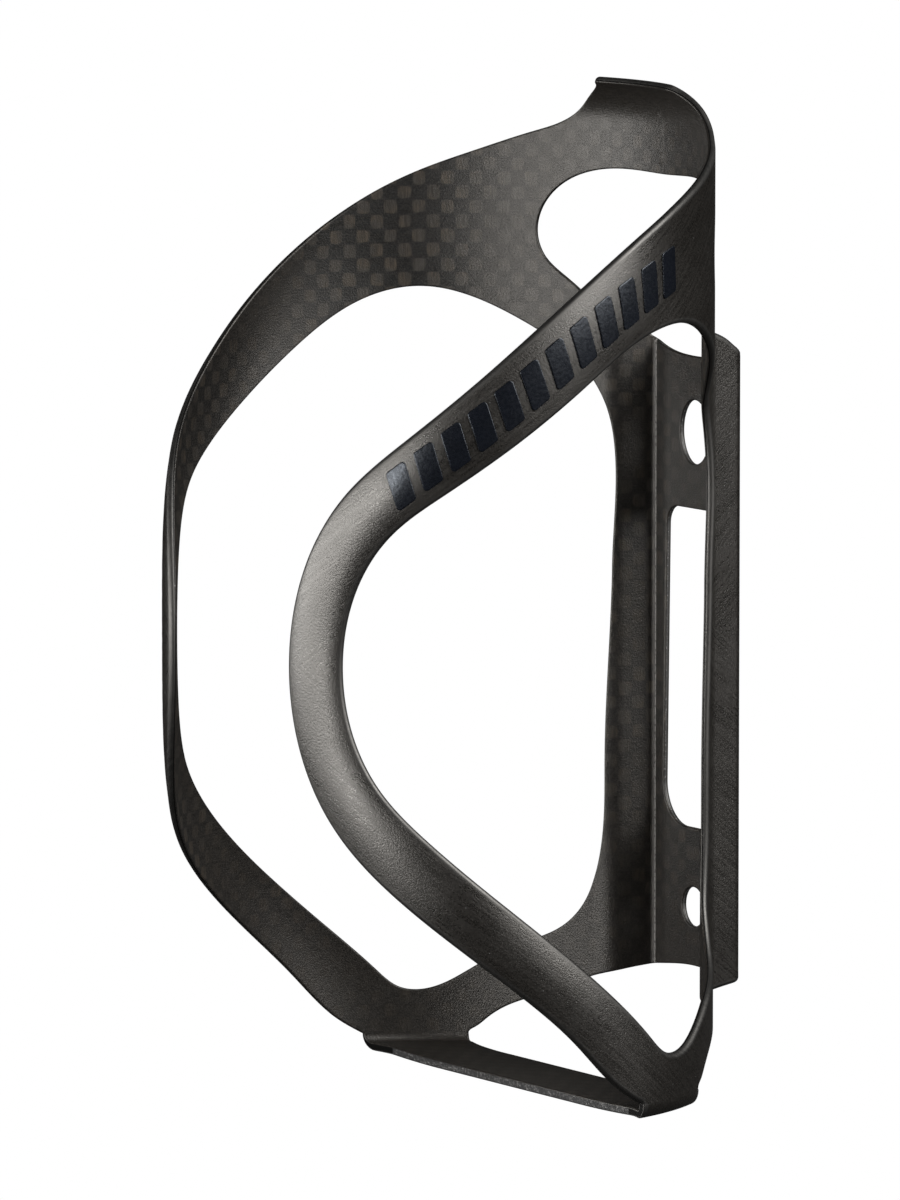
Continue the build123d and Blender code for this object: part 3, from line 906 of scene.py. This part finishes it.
class Nodes:
    """Short ways to add and link shader nodes."""

    def __init__(self, name):
        self.material = bpy.data.materials.new(name)
        self.material.use_nodes = True
        self.tree = self.material.node_tree
        self.tree.nodes.clear()
        self.shader = self.tree.nodes.new("ShaderNodeBsdfPrincipled")
        self.output = self.tree.nodes.new("ShaderNodeOutputMaterial")
        self.tree.links.new(self.shader.outputs["BSDF"], self.output.inputs["Surface"])

    def put(self, value, socket):
        if hasattr(value, "is_output"):
            self.tree.links.new(value, socket)
        else:
            socket.default_value = value

    def set(self, **values):
        for name, value in values.items():
            self.put(value, self.shader.inputs[name.replace("_", " ")])

    def node(self, kind, inputs=(), **settings):
        """Outputs of a new node. inputs are (socket, value or link) pairs."""
        node = self.tree.nodes.new(kind)
        for name, value in settings.items():
            setattr(node, name, value)
        for socket, value in inputs:
            self.put(value, node.inputs[socket])
        return node.outputs

    def attribute(self, name, output="Vector"):
        return self.node("ShaderNodeAttribute", attribute_name=name)[output]

    def object_place(self):
        return self.node("ShaderNodeTexCoord")["Object"]

    def math(self, operation, a, b=0.0):
        return self.node("ShaderNodeMath", enumerate((a, b)), operation=operation)[0]

    def plus(self, a, b):
        return self.math("ADD", a, b)

    def times(self, a, b):
        return self.math("MULTIPLY", a, b)

    def gap(self, a, b):
        """How far apart two values are."""
        return self.math("ABSOLUTE", self.math("SUBTRACT", a, b))

    def stretch(self, vector, scale, turn=0.0):
        shrink = [1 / item for item in scale]
        inputs = (("Vector", vector), ("Scale", shrink), ("Rotation", (0, 0, turn)))
        return self.node("ShaderNodeMapping", inputs, vector_type="TEXTURE")[0]

    def noise(self, vector, scale, detail=2.0, rough=0.5):
        inputs = (("Vector", vector), ("Scale", scale), ("Detail", detail), ("Roughness", rough))
        return self.node("ShaderNodeTexNoise", inputs)["Fac"]

    def range(self, value, low, high, to_low=0.0, to_high=1.0):
        """A smooth step: to_low up to the value low, to_high from high on."""
        inputs = enumerate((value, low, high, to_low, to_high))
        return self.node("ShaderNodeMapRange", inputs, interpolation_type="SMOOTHSTEP")[0]

    def mix(self, share, a, b):
        """Colour a, with a share of b."""
        return self.node("ShaderNodeMix", ((0, share), (6, a), (7, b)), data_type="RGBA")[2]

    def split(self, vector):
        return self.node("ShaderNodeSeparateXYZ", [(0, vector)])

    def join(self, *values):
        return self.node("ShaderNodeCombineXYZ", enumerate(values))[0]

    def bump(self, height, distance, strength=1.0, under=None):
        """Normals over a height, on top of those of another bump."""
        inputs = [("Height", height), ("Distance", distance), ("Strength", strength)]
        if under is not None:
            inputs.append(("Normal", under))
        return self.node("ShaderNodeBump", inputs)[0]


WARM_SHEEN = (1.0, 0.96, 0.90, 1.0)
COOL_SHEEN = (0.86, 0.92, 1.0, 1.0)
WHITE = (1.0, 1.0, 1.0, 1.0)
FIBRE_TURN = math.radians(-37)  # of the outer fibres on the sheet, above FIBRE_FOLD_Z
FIBRE_FOLD_Z = 60.0             # mirrored below it, so that they follow both ends of the arms
WEAVE_PITCH = 1.95              # width of a tow
CREASE_S = 9.35                 # painted highlight of the bend, speckled like wear, along the inside of the spine's bends


def grey(level, warm=0.0):
    """A dark neutral colour, a little warmer for warm above 0."""
    return (level * (1 + warm), level, level * (1 - warm), 1.0)


def sheet_places(n):
    """The sheet's coordinates folded on to the right half: whole, then |s|, z and depth."""
    whole = n.attribute("sheet")
    s, z, depth = n.split(whole)
    return whole, n.math("ABSOLUTE", s), z, depth


def resin_grain(n, sheet):
    """Fine unevenness of the moulded resin."""
    return n.noise(sheet, 4.6, 3.0, 0.62)


def satin_laminate():
    """Outside of the moulding: satin resin over fibres that run along the arms."""
    n = Nodes("satin_laminate")
    sheet, s, z, depth = sheet_places(n)
    folded = n.join(s, n.gap(z, FIBRE_FOLD_Z), depth)
    fibre = n.noise(n.stretch(folded, (0.15, 5.0, 1.0), turn=FIBRE_TURN), 1.0, 3.0)
    grain = resin_grain(n, sheet)
    patch = n.noise(sheet, 0.10, 3.0)
    speck = n.range(n.noise(sheet, 3.5, 0.0), 0.86, 0.88)
    dark = n.mix(fibre, grey(0.002, 0.12), grey(0.006, 0.16))
    colour = n.mix(n.range(grain, 0.35, 0.75), dark, grey(0.012, 0.14))
    skin = n.mix(n.times(speck, 0.3), colour, grey(0.5))
    rough = n.plus(n.range(patch, 0.35, 0.65, 0.30, 0.35), n.range(grain, 0.3, 0.7, -0.03, 0.05))
    rough = n.plus(rough, n.range(fibre, 0.35, 0.65, -0.035, 0.035))
    # Black towards the cut edges: painted shade on the rounded edge, over a sealed resin finish that
    # is rougher there
    sealed = n.range(n.attribute("from_edge", "Fac"), 0.50, 0.95, 1.0, 0.0)
    unsealed_and_unshaded = n.math("SUBTRACT", 1.0, sealed)
    fibre_bump = n.bump(fibre, 0.00003, 0.25)
    n.set(
        Base_Color=n.mix(sealed, skin, grey(0.003)),
        Roughness=n.plus(rough, n.times(sealed, 0.15)),
        Normal=n.bump(grain, 0.00009, n.times(unsealed_and_unshaded, 0.45), under=fibre_bump),
        Specular_Tint=WARM_SHEEN,
        Specular_IOR_Level=1.0,
    )
    return n.material


def woven_ply():
    """Bottle side: plain weave under matte resin. It shows clearly in some places only."""
    n = Nodes("woven_ply")
    sheet, s, z = sheet_places(n)[:3]
    wander = n.times(n.noise(sheet, 0.35, 2.0), 0.6)
    waves = [n.math("SINE", n.times(n.plus(axis, wander), math.pi / WEAVE_PITCH)) for axis in (s, z)]
    over = n.range(n.times(*waves), -0.05, 0.32)
    under = n.math("SUBTRACT", 1.0, over)
    across_fibre = n.noise(n.stretch(sheet, (0.6, 9.0, 1.0)), 1.0, 2.0)
    up_fibre = n.noise(n.stretch(sheet, (9.0, 0.6, 1.0)), 1.0, 2.0)
    fibre = n.plus(n.times(over, up_fibre), n.times(under, across_fibre))
    strand = n.range(fibre, 0.3, 0.7)
    grain = resin_grain(n, sheet)

    past_spine = n.range(s, s_at(43), s_at(54))
    before_arm = n.range(s, s_at(82), s_at(97), 1.0, 0.0)
    shoulder = n.times(n.times(past_spine, before_arm), n.range(z, 84.0, 94.0))
    patches = n.range(n.noise(sheet, 0.055, 2.0), 0.38, 0.58, 0.2, 0.62)
    elsewhere = n.times(patches, n.range(z, 12, 28, 0.35, 1.0))
    below_tab = n.range(z, 123.0, 127.0, 1.0, 0.1)
    shows = n.times(n.math("MAXIMUM", shoulder, elsewhere), below_tab)

    warm = n.mix(n.range(n.noise(sheet, 0.45, 1.0), 0.4, 0.65), grey(0.040, 0.10), grey(0.048, 0.26))
    light_tow = n.mix(strand, grey(0.022, 0.15), warm)
    dark_tow = n.mix(strand, grey(0.004, 0.0), grey(0.010, -0.08))
    plain = n.mix(strand, grey(0.007, 0.12), grey(0.013, 0.16))
    woven = n.mix(shows, plain, n.mix(over, dark_tow, light_tow))
    grainy = n.mix(n.range(grain, 0.35, 0.75, 0.0, 0.45), woven, grey(0.036, 0.12))

    # Light speckled line along the inside of the bends: a painted highlight of the bend, partly wear
    crease = n.range(n.gap(s, CREASE_S), 0.10, 0.24, 1.0, 0.0)
    crease_wear_and_highlight = n.times(crease, n.range(n.noise(sheet, 2.0, 3.0), 0.36, 0.52, 0.25, 1.0))
    on_spine = n.times(n.math("GREATER_THAN", z, 0.0), n.math("LESS_THAN", z, CHANNEL_TOP_Z))
    n.set(
        Base_Color=n.mix(n.times(crease_wear_and_highlight, on_spine), grainy, grey(0.24, 0.06)),
        Roughness=n.plus(n.range(grain, 0.3, 0.7, 0.33, 0.41), n.times(over, -0.03)),
        Normal=n.bump(grain, 0.00010, 0.5, under=n.bump(fibre, 0.00004, 0.3)),
        Specular_Tint=WARM_SHEEN,
        Specular_IOR_Level=0.45,
    )
    return n.material


def raw_edge():
    """Machined edges: cut fibre ends, rough and speckled."""
    n = Nodes("raw_edge")
    sheet = n.attribute("sheet")
    place = n.object_place()
    coarse = n.noise(place, 3200.0, 3.0, 0.6)
    fine = n.noise(place, 9000.0, 2.0, 0.6)
    speck = n.range(coarse, 0.50, 0.62)
    colour = n.mix(speck, grey(0.018, 0.1), grey(0.32, 0.04))
    n.set(
        Base_Color=n.mix(n.range(fine, 0.45, 0.65), grey(0.02), colour),
        Roughness=n.range(n.noise(sheet, 2.0), 0.3, 0.7, 0.5, 0.75),
        Normal=n.bump(coarse, 0.00012, 0.8, under=n.bump(fine, 0.00006, 0.6)),
        Specular_IOR_Level=0.5,
    )
    return n.material


def sealed_edge():
    """Sanded and sealed edges: black resin with a few light specks."""
    n = Nodes("sealed_edge")
    place = n.object_place()
    grain = n.noise(place, 4500.0, 2.0)
    speck = n.range(n.noise(place, 2500.0, 0.0), 0.86, 0.88)
    n.set(
        Base_Color=n.mix(n.times(speck, 0.3), grey(0.004, 0.05), grey(0.5)),
        Roughness=n.range(grain, 0.3, 0.7, 0.34, 0.48),
        Normal=n.bump(grain, 0.00002, 0.3),
        Specular_IOR_Level=0.08,
    )
    return n.material


def gloss_print():
    """Raised gloss graphic: blue-black enamel with slight orange peel."""
    n = Nodes("gloss_print")
    sheet = n.attribute("sheet")
    peel = n.noise(sheet, 2.2, 2.0)
    cloud = n.noise(sheet, 0.5, 2.0)
    n.set(
        Base_Color=n.mix(cloud, (0.002, 0.0025, 0.004, 1.0), (0.004, 0.005, 0.008, 1.0)),
        Roughness=n.range(peel, 0.3, 0.7, 0.24, 0.31),
        Normal=n.bump(peel, 0.00005, 0.35),
        Specular_Tint=COOL_SHEEN,
        Specular_IOR_Level=0.5,
    )
    return n.material


# ---------------------------------------------------------------- scene

FLOOR_GAP = 0.05   # mm under the seat strip
FLOOR_HALF = 12.0  # m
SEEN_GLOW = 1.0    # of the world, where it is seen directly
LIT_GLOW = 0.03    # and where it lights the cage

LIGHT_TARGET = Vector((0, 0, 0.065))
CAMERA_TARGET = Vector((0, 0, 0.0647))
CAMERA_AZIMUTH = 58.0
CAMERA_ELEVATION = 6.8
CAMERA_DISTANCE = 1.473
CAMERA_LENS = 223.5  # mm, over the sensor's height
CAMERA_SENSOR = 24.0
CAMERA_SHIFT = 0.01


def seen_or_lit(tree, seen, lit, output):
    """Shows one shader where it is seen directly, and lights the cage with the other."""
    blend = tree.nodes.new("ShaderNodeMixShader")
    ray = tree.nodes.new("ShaderNodeLightPath")
    tree.links.new(ray.outputs["Is Camera Ray"], blend.inputs[0])
    tree.links.new(lit.outputs[0], blend.inputs[1])
    tree.links.new(seen.outputs[0], blend.inputs[2])
    tree.links.new(blend.outputs[0], output.inputs["Surface"])


def pale_floor():
    """Floor that is seen as white, but sends only a little light up on to the cage."""
    n = Nodes("pale_floor")
    n.set(Base_Color=(0.03, 0.03, 0.03, 1.0), Roughness=0.9, Specular_IOR_Level=0.0)
    seen_or_lit(n.tree, n.tree.nodes.new("ShaderNodeEmission"), n.shader, n.output)
    return n.material


def build_floor():
    mesh = bpy.data.meshes.new("floor")
    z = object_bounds()[0][2] - FLOOR_GAP * MM
    signs = ((-1, -1), (1, -1), (1, 1), (-1, 1))
    mesh.from_pydata([(x * FLOOR_HALF, y * FLOOR_HALF, z) for x, y in signs], [], [(0, 1, 2, 3)])
    mesh.materials.append(pale_floor())
    floor = add_object("floor", mesh)


def face_target(thing, target, azimuth, elevation, distance):
    """Puts a light or a camera beside a target and aims it. Azimuth is from -Y towards +X."""
    a, e = math.radians(azimuth), math.radians(elevation)
    towards = Vector((math.sin(a) * math.cos(e), -math.cos(a) * math.cos(e), math.sin(e)))
    thing.location = target + towards * distance
    thing.rotation_euler = (-towards).to_track_quat("-Z", "Y").to_euler()


def softbox(name, azimuth, elevation, distance, width, height, power):
    """A white area light aimed at the cage."""
    light = bpy.data.lights.new(name, "AREA")
    light.shape = "RECTANGLE"
    light.size = width
    light.size_y = height
    light.energy = power
    face_target(add_object(name, light), LIGHT_TARGET, azimuth, elevation, distance)


def build_lights():
    softbox("key_front_left", -4, -1, 0.42, 0.72, 0.20, 3.4)
    softbox("low_camera_side", 34, -3, 0.42, 0.05, 0.14, 0.26)
    softbox("high_back_right", 122, 31, 0.9, 0.6, 0.8, 14.5)
    world = bpy.data.worlds.new("studio")
    world.use_nodes = True
    tree = world.node_tree
    tree.nodes.clear()
    glows = []
    for strength in (SEEN_GLOW, LIT_GLOW):
        glow = tree.nodes.new("ShaderNodeBackground")
        glow.inputs["Strength"].default_value = strength
        glow.inputs["Color"].default_value = WHITE
        glows.append(glow)
    seen_or_lit(tree, *glows, tree.nodes.new("ShaderNodeOutputWorld"))
    bpy.context.scene.world = world


def build_camera():
    data = bpy.data.cameras.new("camera")
    data.sensor_fit = "VERTICAL"
    data.sensor_height = CAMERA_SENSOR
    data.lens = CAMERA_LENS
    data.shift_x = CAMERA_SHIFT
    data.clip_start = 0.05
    data.clip_end = 60.0
    camera = add_object("camera", data)
    face_target(camera, CAMERA_TARGET, CAMERA_AZIMUTH, CAMERA_ELEVATION, CAMERA_DISTANCE)
    bpy.context.scene.camera = camera


def dress(piece, node):
    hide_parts(node)
    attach(piece, "root")


def build_cage():
    satin = satin_laminate()
    weave = woven_ply()
    raw = raw_edge()
    sealed = sealed_edge()
    gloss = gloss_print()
    rolled, faces = roll_up(*mesh_flat_sheet())
    for node, node_faces in faces.items():
        edge = raw if node == "spine_plate" else sealed
        if node.endswith(("side_wall", "retention_tab")):
            materials = (satin, weave, edge)
            piece = build_layer(f"{node}_laminate", rolled, node_faces, INSIDE, OUTSIDE, materials)
            dress(piece, node)
            continue
        materials = (satin, satin, edge)
        skin = build_layer(f"{node}_skin", rolled, node_faces, PLY_LINE, OUTSIDE, materials)
        dress(skin, node)
        materials = (weave, weave, edge)
        ply = build_layer(f"{node}_facing", rolled, node_faces, INSIDE, PLY_LINE, materials)
        dress(ply, f"{node}_inner_ply")
    dress(build_seat((weave, satin, raw, sealed)), "bottle_seat")
    for side, flip in (("right", False), ("left", True)):
        bars = build_bars(f"{side}_raised_bars", flip, gloss)
        dress(bars, f"{side}_gloss_bars")


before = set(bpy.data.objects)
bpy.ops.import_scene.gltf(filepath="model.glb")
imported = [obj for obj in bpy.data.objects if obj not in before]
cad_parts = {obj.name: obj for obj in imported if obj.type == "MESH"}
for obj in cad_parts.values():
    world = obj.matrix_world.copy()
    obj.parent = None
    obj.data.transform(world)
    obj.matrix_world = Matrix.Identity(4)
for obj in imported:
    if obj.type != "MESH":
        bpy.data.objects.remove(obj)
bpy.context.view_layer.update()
build_camera()
build_floor()
build_lights()
build_cage()
bpy.context.scene.view_settings.view_transform = "Standard"
